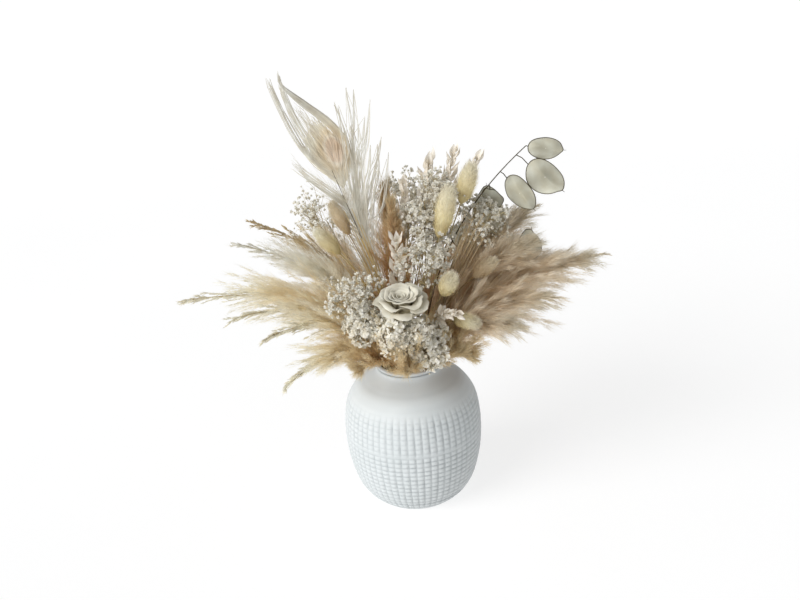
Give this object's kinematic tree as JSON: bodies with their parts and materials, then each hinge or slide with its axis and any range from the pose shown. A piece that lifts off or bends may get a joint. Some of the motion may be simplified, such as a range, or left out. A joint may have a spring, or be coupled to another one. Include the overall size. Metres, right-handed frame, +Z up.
{
  "type": "vase of dried flowers",
  "caption": "Round ribbed white ceramic vase holding a fan of dried grass plumes, bunny tails, small sprays, a rose, honesty pods and a tall feather.",
  "frame": {"origin": "centre of the vase's flat foot, on the surface that it stands on", "axes": "+Z up along the vase's axis, -Y towards the viewer in front, +X to the viewer's right, where the honesty pods are; the feather rises on the -X side"},
  "size_m": [0.4146, 0.2472, 0.4661],
  "materials": {
    "ceramic": "matte",
    "foam": "matte",
    "plume": "matte",
    "bunny": "matte",
    "blossom": "matte",
    "leaf": "matte",
    "floret": "matte",
    "rose": "matte",
    "feather": "satin",
    "pod": "satin"
  },
  "bodies": {
    "root": {"vase": "ceramic", "dry_foam": "foam", "peacock_feather": "feather", "rose": "rose", "bunny_tail_1": "bunny", "bunny_tail_2": "bunny", "bunny_tail_3": "bunny", "bunny_tail_4": "bunny", "bunny_tail_5": "bunny", "bunny_tail_6": "bunny", "bunny_tail_7": "bunny", "bunny_tail_8": "bunny", "floret_head_1": "floret", "floret_head_2": "floret", "floret_head_3": "floret", "honesty_1": "pod", "honesty_2": "pod", "honesty_3": "pod", "leafy_sprig_1": "leaf", "leafy_sprig_2": "leaf", "leafy_sprig_3": "leaf", "leafy_sprig_4": "leaf", "leafy_sprig_5": "leaf", "leafy_sprig_6": "leaf", "babys_breath_1": "blossom", "babys_breath_2": "blossom", "babys_breath_3": "blossom", "babys_breath_4": "blossom", "babys_breath_5": "blossom", "babys_breath_6": "blossom", "babys_breath_7": "blossom", "plume_left_1": "plume", "plume_left_2": "plume", "plume_left_3": "plume", "plume_left_4": "plume", "plume_left_5": "plume", "plume_left_6": "plume", "plume_left_7": "plume", "plume_right_1": "plume", "plume_right_2": "plume", "plume_right_3": "plume", "plume_right_4": "plume", "plume_right_5": "plume", "plume_right_6": "plume", "plume_back_1": "plume", "plume_back_2": "plume", "plume_back_3": "plume", "plume_centre": "plume", "plume_front": "plume"}
  },
  "joints": []
}
